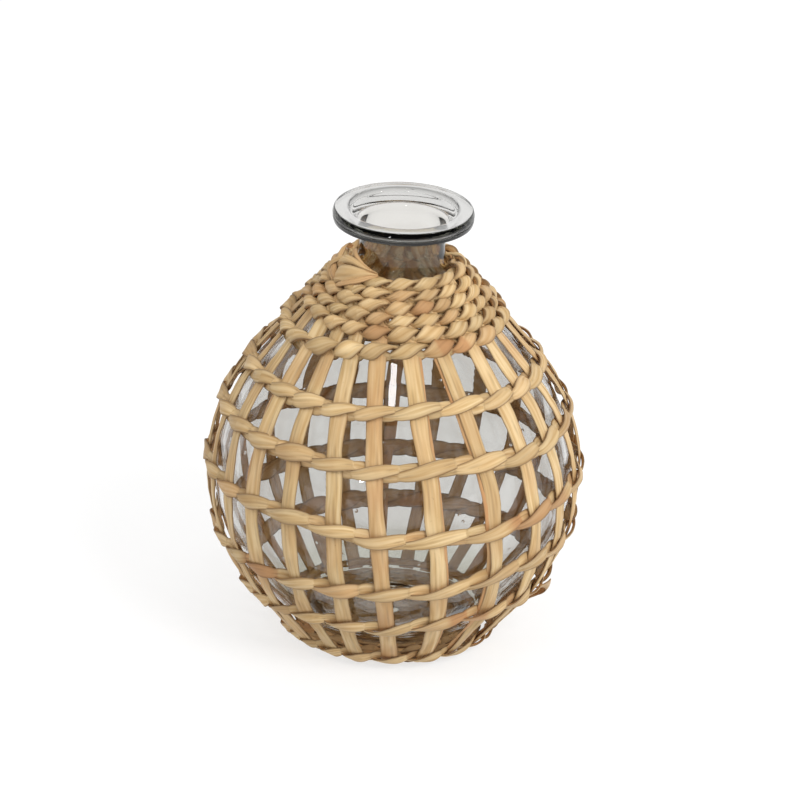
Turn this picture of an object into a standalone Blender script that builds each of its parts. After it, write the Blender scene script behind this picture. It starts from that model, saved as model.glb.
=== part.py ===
"""A round glass vase in a sleeve of twined rush.

Metres, +Z up. The origin is on the axis of the bottle, on the surface that the vase stands on.
The photographed front faces -Y, and azimuths are measured from the front towards +X.

The sleeve is real weaving. Upright strips of rush, the stakes, stand round the bottle, and pairs of
weft strands are twined round them: at each stake one strand of the pair passes outside it and the
other inside, and between two stakes they cross, so they change places at the next one.
"""
import math

import bpy
import numpy as np

# Fit between pieces that touch on the real vase
CLEARANCE = 0.0003

# Glass bottle
GLASS_RADIUS = 0.078
GLASS_WALL = 0.0028
BASE_RADIUS = 0.028
BASE_RING_WIDTH = 0.006
BASE_THICKNESS = 0.007
PUSH_UP = 0.004
FLOOR_RISE = 0.002
SHOULDER_ANGLE = math.radians(40.5)
NECK_RADIUS = 0.0185
NECK_LENGTH = 0.018
NECK_FILLET = 0.005
RIM_RADIUS = 0.0309
RIM_THICKNESS = 0.006
RIM_ROUNDING = 0.0011
MOUTH_RADIUS = 0.0238
FUNNEL_DEPTH = 0.0075

# Rush: flat stakes, and weft strands that are flat over a stake and gathered between two
STAKE_WIDTH = 0.0072
STAKE_THICKNESS = 0.0008
STRAND_THICKNESS = 0.001
GATHERED_THICKNESS = 0.0023
STAKE_SHARE = 0.44

# Woven mat under the bottle
MAT_THICKNESS = 0.0039
MAT_ROWS = 5
MAT_GROOVE_WIDTH = 0.0014
MAT_GROOVE_DEPTH = 0.001

# Foot of the sleeve: a tangent cone below this latitude, and what its rush keeps off the floor
FOOT_ANGLE = math.radians(40.5)
FLOOR_GAP = 0.0008

# Stakes of the front by azimuth at the equator; the others share the rest of the circle evenly.
# All lean alike, by this much more azimuth between the equator and the shoulder
STAKE_COUNT = 24
FRONT_STAKES = (-60.5, -47.5, -33, -17.5, -3.7, 14, 34, 50, 63.5)
STAKE_LEAN = math.radians(-4.4)

# Open bands from the top: latitude on the round body, and rise towards +X, in degrees
BAND_HEIGHT = 0.0066
BANDS = ((40.2, 1.3), (22.5, 0.0), (1.6, 0.5), (-17.6, 2.5), (-34.6, 2.5))

# Closed collar from the neck down: each row is a little wider than the one above
COLLAR_ROWS = 6
COLLAR_ROW_HEIGHT = 0.0048
COLLAR_ROW_GROWTH = 0.00035
COLLAR_TOP_GAP = 0.0018
OPEN_TOP_ROWS = 2
LAST_ROW_DROP = 0.009
LAST_ROW_DROP_POWER = 3

# Ends of wefts that lie on the outside: azimuth from and to, and the run down from its row's middle
END_THICKNESS = 0.0009
END_TIP_SHARE = 0.45
TUCKED_END_WIDTH = 0.0074
TUCKED_END_AZIMUTHS = (-84, -36)
TUCKED_END_RUNS = (0.0042, -0.0035)
WEFT_TAIL_WIDTH = 0.005
WEFT_TAIL_AZIMUTHS = (79, 84)
WEFT_TAIL_RUNS = (0.001, -0.0115)

# Facets, and the angles past which an edge is shaded sharp
BOTTLE_STEPS = 36
MAT_STEPS = 28
BODY_ARC_STEPS = 10
EDGE_ARC_STEPS = 2
STAKE_ARC_STEPS = 13
STAKE_SHOULDER_STEPS = 3
END_STEPS = 6
MERGE_DISTANCE = 0.00001
FLAT_STRIP_SHARP = math.radians(30)
TWISTED_STRAND_SHARP = math.radians(60)

# Looks
GLASS_COLOUR = (0.80, 0.81, 0.80)
GLASS_ROUGHNESS = 0.03
RUSH_COLOURS = ((0.60, 0.41, 0.20), (0.55, 0.36, 0.17), (0.63, 0.44, 0.23), (0.57, 0.33, 0.16))
RUSH_ROUGHNESS = 0.6
BASE_ROUGHNESS = 0.7

# The strand's lift off the middle of the sleeve, so that its straight run from over a stake to the
# crossing beside it clears the stake's edge
FLAT_HALF = STRAND_THICKNESS / 2
GATHERED_HALF = GATHERED_THICKNESS / 2
STRAND_LIFT = (
    STAKE_THICKNESS / 2 + CLEARANCE + FLAT_HALF + STAKE_SHARE * (GATHERED_HALF - FLAT_HALF)
) / (1 - STAKE_SHARE)

# Corners of a strand's section as ways along its thin and its broad axis, clockwise seen along the
# strand, and which of its sides, each named by its first corner, faces the strand's partner
STRAND_CORNERS = ((1, -1), (1, 1), (-1, 1), (-1, -1))
PARTNER_SIDE = 2

SLEEVE_HALF = STRAND_LIFT + FLAT_HALF
SLEEVE_RADIUS = GLASS_RADIUS + CLEARANCE + SLEEVE_HALF
GLASS_BOTTOM = MAT_THICKNESS + CLEARANCE
CENTRE_HEIGHT = GLASS_BOTTOM + math.sqrt(GLASS_RADIUS ** 2 - BASE_RADIUS ** 2)
FILLET_TANGENT = NECK_FILLET * math.tan(SHOULDER_ANGLE / 2)
ARC_TOP = SLEEVE_RADIUS * SHOULDER_ANGLE
ARC_FOOT = -SLEEVE_RADIUS * FOOT_ANGLE


def clear_scene():
    """Remove every object, and the collections that a fresh file starts with."""
    for item in list(bpy.data.objects):
        bpy.data.objects.remove(item)
    for group in list(bpy.data.collections):
        bpy.data.collections.remove(group)


def material(name, colour, roughness, transmission=0.0):
    """A Principled material of its own for one piece."""
    made = bpy.data.materials.new(name)
    made.use_nodes = True
    shader = made.node_tree.nodes["Principled BSDF"]
    shader.inputs["Base Color"].default_value = (*colour, 1.0)
    shader.inputs["Roughness"].default_value = roughness
    shader.inputs["Metallic"].default_value = 0.0
    shader.inputs["Transmission Weight"].default_value = transmission
    made.diffuse_color = (*colour, 1.0)
    return made


def add_piece(name, mesh, finish, group, sharp_angle):
    """Put a mesh into the scene as a named piece with its own material."""
    piece = bpy.data.objects.new(name, mesh)
    mesh.materials.append(finish)
    mesh.shade_smooth()
    mesh.set_sharp_from_angle(angle=sharp_angle)
    group.objects.link(piece)
    return piece


def arc(centre, radius, start, end, steps):
    """Points of a circular arc in the (radius, height) plane, both ends included."""
    turn = np.linspace(start, end, steps + 1)
    return [(centre[0] + radius * math.cos(a), centre[1] + radius * math.sin(a)) for a in turn]


def turned(name, profile, steps, finish, group):
    """Spin a (radius, height) profile round Z. The profile runs down its outer side."""
    mesh = bpy.data.meshes.new(name)
    points = [(radius, 0.0, height) for radius, height in profile]
    mesh.from_pydata(points, [(i, i + 1) for i in range(len(points) - 1)], [])
    piece = bpy.data.objects.new(name, mesh)
    mesh.materials.append(finish)
    group.objects.link(piece)
    screw = piece.modifiers.new("turn", "SCREW")
    screw.axis = "Z"
    screw.steps = steps
    screw.render_steps = steps
    screw.use_merge_vertices = True
    screw.merge_threshold = MERGE_DISTANCE
    screw.use_smooth_shade = True
    return piece


def shoulder_end(radius, neck):
    """Where the tangent cone of a sphere of this radius has narrowed to the neck."""
    start_r = radius * math.cos(SHOULDER_ANGLE)
    start_z = CENTRE_HEIGHT + radius * math.sin(SHOULDER_ANGLE)
    return neck, start_z + (start_r - neck) / math.tan(SHOULDER_ANGLE)


def bottle_profile():
    """Inside of the bottle from the bottom up, over the rim and down the outside."""
    centre = (0.0, CENTRE_HEIGHT)
    inner_radius = GLASS_RADIUS - GLASS_WALL
    bore = NECK_RADIUS - GLASS_WALL
    floor_z = GLASS_BOTTOM + BASE_THICKNESS
    floor_angle = math.asin((floor_z - CENTRE_HEIGHT) / inner_radius)
    base_angle = -math.acos(BASE_RADIUS / GLASS_RADIUS)
    neck_z = shoulder_end(GLASS_RADIUS, NECK_RADIUS)[1]
    rim_z = neck_z + NECK_LENGTH
    top_z = rim_z + RIM_THICKNESS

    inside = [(0.0, floor_z + FLOOR_RISE)]
    inside += arc(centre, inner_radius, floor_angle, SHOULDER_ANGLE, BODY_ARC_STEPS)
    inside.append((bore, shoulder_end(inner_radius, bore)[1]))
    inside.append((bore, top_z - FUNNEL_DEPTH))
    inside.append(((bore + MOUTH_RADIUS) / 2 - RIM_ROUNDING, top_z - FUNNEL_DEPTH / 2))
    inside.append((MOUTH_RADIUS - RIM_ROUNDING / 2, top_z - RIM_ROUNDING))

    edge = RIM_RADIUS - RIM_ROUNDING
    rim = [(MOUTH_RADIUS + RIM_ROUNDING / 2, top_z)]
    rim += arc((edge, top_z - RIM_ROUNDING), RIM_ROUNDING, math.pi / 2, 0, EDGE_ARC_STEPS)
    rim += arc((edge, rim_z + RIM_ROUNDING), RIM_ROUNDING, 0, -math.pi / 2, EDGE_ARC_STEPS)

    outside = [(NECK_RADIUS + RIM_ROUNDING, rim_z)]
    outside.append((NECK_RADIUS, rim_z - RIM_ROUNDING))
    fillet_centre = (NECK_RADIUS + NECK_FILLET, neck_z + FILLET_TANGENT)
    outside += arc(fillet_centre, NECK_FILLET, math.pi, math.pi + SHOULDER_ANGLE, EDGE_ARC_STEPS)
    outside += arc(centre, GLASS_RADIUS, SHOULDER_ANGLE, base_angle, BODY_ARC_STEPS)
    outside.append((BASE_RADIUS - BASE_RING_WIDTH, GLASS_BOTTOM))
    outside.append((0.0, GLASS_BOTTOM + PUSH_UP))
    return inside + rim + outside


def mat_profile():
    """Flat top under the glass, and an underside whose grooves part the rows of weaving.

    The mat reaches out to the lower ends of the stakes.
    """
    stake_end = float(sleeve_point(foot_run_at(FLOOR_GAP + STAKE_THICKNESS / 2))[0])
    edge = stake_end - STAKE_THICKNESS / 2 - CLEARANCE
    profile = [(0.0, MAT_THICKNESS), (edge - MAT_GROOVE_WIDTH / 2, MAT_THICKNESS)]
    profile.append((edge, MAT_THICKNESS / 2))
    profile.append((edge - MAT_GROOVE_WIDTH / 2, 0.0))
    pitch = edge / MAT_ROWS
    for row in range(MAT_ROWS - 1, 0, -1):
        groove = row * pitch
        profile.append((groove + MAT_GROOVE_WIDTH / 2, 0.0))
        profile.append((groove, MAT_GROOVE_DEPTH))
        profile.append((groove - MAT_GROOVE_WIDTH / 2, 0.0))
    profile.append((0.0, 0.0))
    return profile


def stake_azimuths():
    """Azimuths of all the stakes in order, in radians, over one turn from the leftmost front one."""
    front = list(FRONT_STAKES)
    gap_count = STAKE_COUNT - len(front) + 1
    rest = np.linspace(front[-1], front[0] + 360, gap_count + 1)[1:-1]
    return np.radians(front + list(rest))


def sleeve_point(run):
    """Middle of the sleeve at a run along the meridian, measured up from the equator.

    Returns radius, height and the slope of the meridian. The round body is an arc, and the shoulder
    and the foot are its tangent cones.
    """
    run = np.asarray(run, dtype=float)
    on_arc = np.clip(run, ARC_FOOT, ARC_TOP)
    latitude = on_arc / SLEEVE_RADIUS
    beyond = run - on_arc
    radius = SLEEVE_RADIUS * np.cos(latitude) - beyond * np.sin(latitude)
    height = CENTRE_HEIGHT + SLEEVE_RADIUS * np.sin(latitude) + beyond * np.cos(latitude)
    return radius, height, latitude


def foot_run_at(height):
    """Run down the meridian at which the middle of the foot's cone is at this height."""
    cone_top = CENTRE_HEIGHT - SLEEVE_RADIUS * math.sin(FOOT_ANGLE)
    return ARC_FOOT - (cone_top - height) / math.cos(FOOT_ANGLE)


def sleeve_frame(azimuth, run):
    """Places, outward normals and upward tangents on the middle surface of the sleeve.

    The azimuth is the one that a stake through the place has at the equator.
    """
    radius, height, slope = sleeve_point(run)
    azimuth = azimuth + STAKE_LEAN * np.asarray(run) / ARC_TOP
    side = np.stack([np.sin(azimuth), -np.cos(azimuth)], axis=-1)
    place = np.concatenate([side * radius[..., None], height[..., None]], axis=-1)
    normal = np.concatenate([side * np.cos(slope)[..., None], np.sin(slope)[..., None]], axis=-1)
    tangent = np.concatenate([-side * np.sin(slope)[..., None], np.cos(slope)[..., None]], axis=-1)
    return place, normal, tangent


def fold(first, second, third, fourth):
    """How far a quad is from flat when it is cut from its first corner to its third: 0 is flat."""
    one = np.cross(second - first, third - first)
    other = np.cross(third - first, fourth - first)
    return 1 - one @ other / (np.linalg.norm(one) * np.linalg.norm(other))


def loft(name, sections, closed, hollow_side=None):
    """Skin a run of four-cornered sections with triangles.

    Seen along the run, the corners of a section go round clockwise. Each quad between two sections
    is cut along the diagonal that folds it less. Where the sections turn clockwise by a right angle
    from one to the next, the cuts bulge instead, apart from those of the hollow side, so that the
    twisted run keeps its thickness. A closed run joins its last section to its first, and an open
    one gets a cap at each end.
    """
    ring_count, side_count, _ = sections.shape
    points = sections.reshape(-1, 3)
    rings = ring_count if closed else ring_count - 1
    faces = []
    for ring in range(rings):
        here = ring * side_count
        after = (ring + 1) % ring_count * side_count
        for side in range(side_count):
            beside = (side + 1) % side_count
            quad = (here + side, after + side, after + beside, here + beside)
            turned_quad = quad[1:] + quad[:1]
            flatter = fold(*points[list(turned_quad)]) < fold(*points[list(quad)])
            bulges = side != hollow_side
            if flatter if hollow_side is None else bulges:
                quad = turned_quad
            faces.append(quad[:3])
            faces.append((quad[0], quad[2], quad[3]))
    if not closed:
        faces.append(tuple(range(side_count)))
        faces.append(tuple(reversed(range((ring_count - 1) * side_count, ring_count * side_count))))
    mesh = bpy.data.meshes.new(name)
    mesh.from_pydata(points.tolist(), [], faces)
    return mesh


def weft_rows():
    """Every twined row from the neck to the foot: name, run, height, stake step, rise and drop."""
    rows = []
    cone_run = (GLASS_RADIUS * math.cos(SHOULDER_ANGLE) - NECK_RADIUS) / math.sin(SHOULDER_ANGLE)
    edge = ARC_TOP + cone_run - FILLET_TANGENT - COLLAR_TOP_GAP
    for number in range(COLLAR_ROWS):
        height = COLLAR_ROW_HEIGHT + number * COLLAR_ROW_GROWTH
        step = 2 if number < OPEN_TOP_ROWS else 1
        drop = LAST_ROW_DROP if number == COLLAR_ROWS - 1 else 0.0
        rows.append((f"collar_row_{number + 1}", edge - height / 2, height, step, 0.0, drop))
        edge -= height
    for number, (latitude, rise) in enumerate(BANDS):
        run = SLEEVE_RADIUS * math.radians(latitude)
        rows.append((f"band_{number + 1}", run, BAND_HEIGHT, 1, math.radians(rise), 0.0))
    foot_height = FLOOR_GAP + SLEEVE_HALF * math.sin(FOOT_ANGLE) + BAND_HEIGHT / 2 * math.cos(FOOT_ANGLE)
    rows.append(("foot_row", foot_run_at(foot_height), BAND_HEIGHT, 1, 0.0, 0.0))
    return rows


def next_stakes(azimuths):
    """Azimuth of the stake that follows each of these round the sleeve."""
    return np.append(azimuths[1:], azimuths[0] + 2 * math.pi)


def strand_mesh(name, row, first_stakes):
    """One strand of a twined pair, as a loft with a section at each stake and at each crossing.

    It starts outside its first stake. Seen along the strand it circles the middle of the sleeve
    once in two stakes. Its thin side always faces its partner, so the pair turns round itself as
    a cord does. It is flat where it passes a stake and gathered to a squarer section where the
    pair crosses.
    """
    _, run, height, _, rise, drop = row
    azimuth = np.stack([first_stakes, (first_stakes + next_stakes(first_stakes)) / 2], axis=1).ravel()
    turn = np.arange(len(azimuth)) * math.pi / 2
    at_stake = np.arange(len(azimuth)) % 2 == 0
    left = (1 - np.sin(azimuth)) / 2
    runs = run + SLEEVE_RADIUS * rise * np.sin(azimuth) - drop * left ** LAST_ROW_DROP_POWER
    place, normal, tangent = sleeve_frame(azimuth, runs)

    # Where the pair crosses, each strand takes half of the row's height, a quarter off its middle
    swing = height / 4
    half_thin = np.where(at_stake, FLAT_HALF, swing - CLEARANCE / 2)
    half_broad = np.where(at_stake, (height - CLEARANCE) / 2, GATHERED_HALF)
    along_thin = np.cos(turn)[:, None] * normal + np.sin(turn)[:, None] * tangent
    along_broad = -np.sin(turn)[:, None] * normal + np.cos(turn)[:, None] * tangent
    centre = (place + STRAND_LIFT * np.cos(turn)[:, None] * normal
              + swing * np.sin(turn)[:, None] * tangent)
    corners = []
    for thin, broad in STRAND_CORNERS:
        offset = thin * half_thin[:, None] * along_thin + broad * half_broad[:, None] * along_broad
        corners.append(centre + offset)
    return loft(name, np.stack(corners, axis=1), closed=True, hollow_side=PARTNER_SIDE)


def stake_mesh(name, azimuth, top_run, foot_run):
    """A flat strip up the sleeve that narrows where the stakes crowd together at the shoulder."""
    body = np.linspace(ARC_FOOT, ARC_TOP, STAKE_ARC_STEPS + 1)
    shoulder = np.linspace(ARC_TOP, top_run, STAKE_SHOULDER_STEPS + 1)[1:]
    runs = np.concatenate([[foot_run], body, shoulder])
    place, normal, tangent = sleeve_frame(azimuth, runs)
    across = np.cross(tangent, normal)
    closest = np.min(np.diff(stake_azimuths()))
    room = STAKE_SHARE * closest * np.hypot(place[:, 0], place[:, 1])
    half_width = (np.minimum(STAKE_WIDTH, room) / 2)[:, None]
    half_depth = STAKE_THICKNESS / 2
    corners = [place + side * half_width * across + face * half_depth * normal
               for side, face in ((1, 1), (-1, 1), (-1, -1), (1, -1))]
    return loft(name, np.stack(corners, axis=1), closed=False)


def end_mesh(name, azimuths, runs, width):
    """A flat weft end that lies on the outside of the rows, tapered to its two tips."""
    share = np.linspace(0, 1, END_STEPS + 1)
    azimuth = np.radians(azimuths[0] + share * (azimuths[1] - azimuths[0]))
    place, normal, _ = sleeve_frame(azimuth, runs[0] + share * (runs[1] - runs[0]))
    place = place + (SLEEVE_HALF + CLEARANCE + END_THICKNESS / 2) * normal
    along = np.gradient(place, axis=0)
    across = np.cross(along, normal)
    across /= np.linalg.norm(across, axis=1)[:, None]
    fullness = END_TIP_SHARE + (1 - END_TIP_SHARE) * np.sin(math.pi * share)
    half_width = width / 2 * fullness[:, None]
    half_depth = END_THICKNESS / 2
    corners = [place + side * half_width * across + face * half_depth * normal
               for side, face in ((1, 1), (-1, 1), (-1, -1), (1, -1))]
    return loft(name, np.stack(corners, axis=1), closed=False)


def build_ends(rows, group):
    """The end tucked in beside the neck, and the tail that stands off the lowest band."""
    run_of = {row[0]: row[1] for row in rows}
    ends = (("tucked_end", "collar_row_1", TUCKED_END_AZIMUTHS, TUCKED_END_RUNS, TUCKED_END_WIDTH),
            ("weft_tail", "band_5", WEFT_TAIL_AZIMUTHS, WEFT_TAIL_RUNS, WEFT_TAIL_WIDTH))
    for name, row_name, azimuths, runs, width in ends:
        runs = [run_of[row_name] + offset for offset in runs]
        mesh = end_mesh(name, azimuths, runs, width)
        finish = material(name + "_rush", RUSH_COLOURS[0], RUSH_ROUGHNESS)
        add_piece(name, mesh, finish, group, FLAT_STRIP_SHARP)


def build_stakes(rows, group):
    """All the stakes. Every second one stops under the collar, where only half can reach the neck."""
    top_row = rows[0]
    last_full_row = next(row for row in rows if row[3] == 1)
    long_top = top_row[1] + top_row[2] / 2
    short_top = last_full_row[1] + last_full_row[2] / 2
    foot_run = foot_run_at(FLOOR_GAP + STAKE_THICKNESS / 2)
    for number, azimuth in enumerate(stake_azimuths()):
        name = f"stake_{number + 1:02d}"
        top_run = short_top if number % 2 else long_top
        mesh = stake_mesh(name, azimuth, top_run, foot_run)
        finish = material(name + "_rush", RUSH_COLOURS[number % len(RUSH_COLOURS)], RUSH_ROUGHNESS)
        add_piece(name, mesh, finish, group, FLAT_STRIP_SHARP)


def build_wefts(rows, group):
    """Both strands of every twined row. Strand b starts outside the stake after strand a's first."""
    for number, row in enumerate(rows):
        stakes = stake_azimuths()[::row[3]]
        for letter, first_stakes in (("a", stakes), ("b", next_stakes(stakes))):
            name = f"{row[0]}_strand_{letter}"
            mesh = strand_mesh(name, row, first_stakes)
            shade = RUSH_COLOURS[(number + (letter == "b")) % len(RUSH_COLOURS)]
            finish = material(name + "_rush", shade, RUSH_ROUGHNESS)
            add_piece(name, mesh, finish, group, TWISTED_STRAND_SHARP)


def main():
    clear_scene()
    group = bpy.data.collections.new("wicker_wrapped_vase")
    bpy.context.scene.collection.children.link(group)
    glass = material("bottle_glass", GLASS_COLOUR, GLASS_ROUGHNESS, transmission=1.0)
    turned("glass_bottle", bottle_profile(), BOTTLE_STEPS, glass, group)
    base_rush = material("base_rush", RUSH_COLOURS[1], BASE_ROUGHNESS)
    turned("woven_base", mat_profile(), MAT_STEPS, base_rush, group)
    rows = weft_rows()
    build_stakes(rows, group)
    build_wefts(rows, group)
    build_ends(rows, group)


main()
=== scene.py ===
"""Fine surfaces and finishes of a round glass vase in an open sleeve of twined rush.

Metres, +Z up. The front of the vase faces -Y, and azimuths are measured from the front towards +X.
Places on the sleeve are given by an azimuth and a run, which is the way up the meridian from the
equator. The middle of the sleeve is the surface that the stakes lie on, and each twined pair winds
round it, outside one stake and inside the next.
"""

import math

import bpy
import numpy as np
from bpy.props import FloatProperty, FloatVectorProperty, IntProperty, PointerProperty
from mathutils import Matrix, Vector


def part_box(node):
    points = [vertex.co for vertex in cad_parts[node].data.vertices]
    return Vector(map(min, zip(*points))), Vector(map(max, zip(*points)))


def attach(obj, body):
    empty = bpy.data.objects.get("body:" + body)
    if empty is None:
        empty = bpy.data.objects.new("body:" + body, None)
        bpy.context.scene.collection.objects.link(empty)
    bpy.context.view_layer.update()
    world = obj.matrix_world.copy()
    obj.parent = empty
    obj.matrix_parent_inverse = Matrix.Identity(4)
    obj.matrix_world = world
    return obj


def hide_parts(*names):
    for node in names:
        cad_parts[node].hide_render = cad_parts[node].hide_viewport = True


bl_info = {
    "name": "Wicker-wrapped vase",
    "version": (1, 0, 0),
    "blender": (4, 5, 0),
    "location": "View3D > Sidebar > Vase",
    "description": "Glass bottle vase in a sleeve of twined rush, with its finishes and studio",
    "category": "Object",
}

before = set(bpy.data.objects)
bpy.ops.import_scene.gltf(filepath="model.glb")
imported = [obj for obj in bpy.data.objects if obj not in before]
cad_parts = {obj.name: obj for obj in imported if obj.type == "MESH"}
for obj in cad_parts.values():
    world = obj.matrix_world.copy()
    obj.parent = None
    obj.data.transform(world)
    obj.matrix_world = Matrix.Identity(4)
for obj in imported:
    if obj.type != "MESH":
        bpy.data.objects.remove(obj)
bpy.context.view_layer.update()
GLASS_LOW, GLASS_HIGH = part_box("glass_bottle")
MAT_LOW, MAT_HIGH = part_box("woven_base")

# Sizes of the bottle that its neighbours share
GLASS_RADIUS = 0.078
BASE_RADIUS = 0.028
NECK_RADIUS = 0.0185
GLASS_BOTTOM = float(GLASS_LOW[2])
GLASS_TOP = float(GLASS_HIGH[2])
CENTRE_HEIGHT = GLASS_BOTTOM + math.sqrt(GLASS_RADIUS ** 2 - BASE_RADIUS ** 2)

# Height of the rim's groove as a share of the rim's side, and radius of the caps on the axis
GROOVE_SHARE = 0.47
POLE_RADIUS = 0.0004

# Middle surface of the sleeve: a round body between two tangent cones
SLEEVE_RADIUS = 0.0814536
CONE_ANGLE = math.radians(40.5)
ARC_TOP = SLEEVE_RADIUS * CONE_ANGLE
ARC_FOOT = -ARC_TOP
STAKE_FOOT_HEIGHT = 0.0022

# Stakes of the front: azimuth at the equator, lean and bow, in degrees, both reached at the shoulder
FRONT_STAKES = (
    (-60.5, -4.0, -1.0), (-47.5, -1.8, -1.0), (-33.0, -2.8, -0.9), (-17.5, -3.2, -1.8),
    (-3.7, -4.4, -0.4), (14.0, -5.0, 0.0), (34.0, -5.0, -0.8), (50.0, -5.2, 1.4), (63.5, -3.8, 0.0),
)
STAKE_COUNT = 24
STAKE_LEAN = -4.4

# Collar rows from the neck down: segments in a turn, and the azimuths of those at the front
COLLAR_SEGMENTS = (
    (14, (-23.8, -0.3, 25.6, 48.4)),
    (16, (-41.3, -23.4, 1.8, 24.0, 44.0)),
    (18, (-43.3, -20.3, -0.3, 17.8, 33.5, 49.2)),
    (22, (-29.5, -14.6, 1.7, 19.2, 36.4)),
    (22, (-43.0, -29.0, -13.6, 2.9, 20.3, 38.2, 53.0)),
    (24, (-63.9, -41.4, -26.5, -12.2, 5.8, 23.7, 40.3, 56.4)),
)
COLLAR_RUNS = (0.1144, 0.1094, 0.1041, 0.0984, 0.0924, 0.0860)
COLLAR_HEIGHTS = (0.0048, 0.00515, 0.0055, 0.00585, 0.0062, 0.00655)
LAST_ROW_DROP = 0.009

# Open bands from the top: azimuths in degrees and the runs there in millimetres, over a whole turn
BAND_RUNS = (
    ((-90, -69, -54, -39, -22, -2, 17, 35, 50, 65, 93, 135, 180, 225),
     (54.2, 54.8, 55.8, 55.6, 56.1, 57.3, 58.4, 58.5, 58.2, 58.4, 58.3, 57.6, 57.0, 55.6)),
    ((-86, -60, -46, -35, -24, -7, 2, 12, 22, 32, 44, 54, 68, 87, 130, 180, 230),
     (31.5, 33.2, 32.4, 32.5, 31.9, 31.1, 31.4, 32.4, 33.3, 33.1, 31.8, 31.4, 32.8, 33.2, 32.0, 31.5,
      32.2)),
    ((-85, -67, -47, -37, -28, -15, -3, 3, 12, 25, 42, 57, 78, 120, 180, 230),
     (4.2, 4.7, 4.8, 5.3, 4.8, 3.4, 0.6, 0.9, 1.7, 1.9, 2.7, 4.6, 4.9, 3.0, 1.4, 2.6)),
    ((-80, -55, -39, -21, -4, 13, 27, 44, 61, 85, 130, 180, 230),
     (-27.6, -27.2, -28.4, -26.5, -26.2, -25.4, -23.2, -19.8, -19.6, -20.8, -23.0, -25.5, -27.2)),
    ((-75, -46, -29, -17, -2, 8, 19, 30, 43, 65, 90, 135, 180, 230),
     (-53.2, -53.0, -49.4, -49.9, -52.0, -49.6, -46.6, -44.9, -44.9, -45.6, -46.0, -47.6, -49.4, -51.6)),
)

# Heights of a band and of the foot row, and how high the foot row's middle is above the floor
BAND_HEIGHT = 0.0066
FOOT_ROW_HEIGHT = 0.0053
FOOT_ROW_MIDDLE = 0.0062

# How far the mat stays inside its solid, the height of its rings as a share of their pitch, and how
# many inner rings pass only every second stake
MAT_MARGIN = 0.0012
MAT_FILL = 1.06
MAT_SPARSE_ROWS = 3

# First seeds of the stakes' waver, of their looks, of the rows and of the mat, and the angle from which
# an edge of the glass is sharp
WAVER_SEED = 500
STAKE_SEED = 700
ROW_SEED = 1000
MAT_SEED = 3000
SHARP_EDGE = math.radians(55)

# Segments that are plainly redder than the rest: row, azimuth in degrees and half the span
RED_SEGMENTS = (
    ("collar_row_6", 31, 9), ("collar_row_5", -14, 8), ("collar_row_3", 17, 8), ("band_3", 52, 14),
    ("band_4", -46, 9), ("band_5", 30, 8), ("band_3", -150, 16),
    ("band_1", 150, 12), ("band_4", 110, 12), ("collar_row_4", 160, 14), ("collar_row_2", -130, 16),
)

# How much paler the strips are on the side towards the glass, as painted light where that side gets
# little light, in steps of a segment's own lightness, and how much redder
INNER_PAINTED_LIGHT = 0.9
INNER_REDNESS = 0.5


# Numbers and curves

def smooth_noise(places, wavelength, seed, terms=7):
    """Smooth noise from -1 to 1 at places in space: a mean of sines in random directions."""
    rng = np.random.default_rng(seed)
    ways = rng.normal(size=(terms, places.shape[-1]))
    ways /= np.linalg.norm(ways, axis=1)[:, None]
    pitch = math.tau / (wavelength * rng.uniform(0.6, 1.5, terms))
    phase = rng.uniform(0, math.tau, terms)
    waves = np.sin(places @ (ways * pitch[:, None]).T + phase)
    return waves.sum(axis=-1) / math.sqrt(terms)


def through_knots(knots, values, at, period, gain=0.0):
    """Smooth periodic curve through knots that may be unevenly spaced.

    Between two knots it is the cubic whose slope at each is that between the knot's neighbours. The
    values grow by the gain over each period.
    """
    knots = np.asarray(knots, float)
    values = np.asarray(values, float)
    turns = np.array([-1, 0, 1])[:, None]
    long_knots = (knots + turns * period).ravel()
    long_values = (values + turns * gain).ravel()
    slopes = np.gradient(long_values, long_knots)
    turn = np.floor((at - knots[0]) / period)
    inside = at - turn * period
    here = np.clip(np.searchsorted(long_knots, inside, side="right") - 1, 0, len(long_knots) - 2)
    span = long_knots[here + 1] - long_knots[here]
    t = (inside - long_knots[here]) / span
    low = (2 * t ** 3 - 3 * t ** 2 + 1) * long_values[here] + (t ** 3 - 2 * t ** 2 + t) * span * slopes[here]
    high = (3 * t ** 2 - 2 * t ** 3) * long_values[here + 1] + (t ** 3 - t ** 2) * span * slopes[here + 1]
    return low + high + turn * gain


def ring_azimuths(front, count):
    """Azimuths in radians of a ring: those of the front, and the rest spread evenly behind."""
    rest = np.linspace(front[-1], front[0] + 360, count - len(front) + 2)[1:-1]
    return np.radians(np.concatenate([front, rest]))


def outward(azimuth):
    """Level directions away from the axis."""
    return np.stack([np.sin(azimuth), -np.cos(azimuth)], axis=-1)


def about_axis(azimuth, out, up):
    """Places or vectors at azimuths, from their parts away from the axis and upwards."""
    azimuth, out, up = np.broadcast_arrays(azimuth, out, up)
    return np.concatenate([outward(azimuth) * out[..., None], up[..., None]], axis=-1)


def path_length(places):
    """Length along a path up to each of its places."""
    return np.concatenate([[0], np.cumsum(np.linalg.norm(np.diff(places, axis=0), axis=1))])


def signed_power(values, power):
    """Values raised to a power in size, with their signs kept."""
    return np.sign(values) * np.abs(values) ** power


def crests(x, shapes):
    """Sum of bell curves, each with its place, width and height."""
    return sum(height * np.exp(-((x - place) / width) ** 2) for place, width, height in shapes)


def step_between(low, high, x):
    """Smooth step from 0 at the low value to 1 at the high one."""
    t = np.clip((x - low) / (high - low), 0, 1)
    return t * t * (3 - 2 * t)


def unit(vectors):
    """Vectors scaled to length one."""
    return vectors / np.linalg.norm(vectors, axis=-1, keepdims=True)


# Surfaces

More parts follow.
